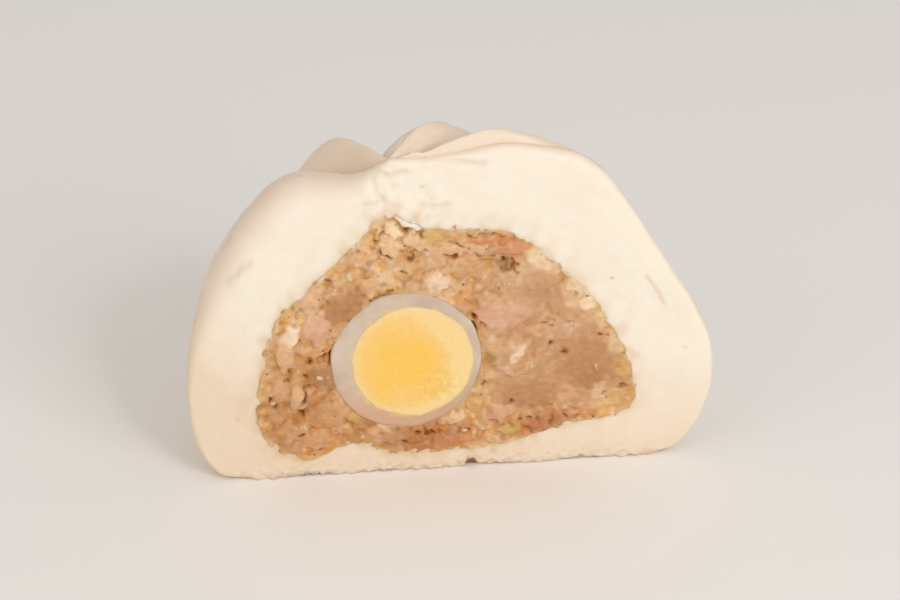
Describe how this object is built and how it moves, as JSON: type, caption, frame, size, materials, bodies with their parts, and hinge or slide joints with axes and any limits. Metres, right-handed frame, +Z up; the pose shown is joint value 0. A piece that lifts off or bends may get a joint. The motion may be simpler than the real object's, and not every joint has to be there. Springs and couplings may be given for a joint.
{
  "type": "banh bao",
  "caption": "Steamed banh bao bun cut open to show minced pork filling round a boiled quail egg, under pleated dough.",
  "frame": {"origin": "bottom centre of the whole piece's box, on the plane the flat base rests on", "axes": "+Z up, the knife cut faces -Y with the pleated back towards +Y, +X to the right as the cut is looked at"},
  "size_m": [0.0912, 0.036, 0.0627],
  "materials": {
    "dough": "soft steamed wheat dough, cream white and faintly satin",
    "filling": "moist cooked pork mince, tan and pinkish brown, with pepper flecks",
    "egg_white": "set egg white, smooth and slightly see-through",
    "egg_yolk": "hard-boiled yolk, powdery yellow"
  },
  "bodies": {
    "root": {"dough": "dough", "filling": "filling", "egg_white": "egg_white", "egg_yolk": "egg_yolk"}
  },
  "joints": []
}
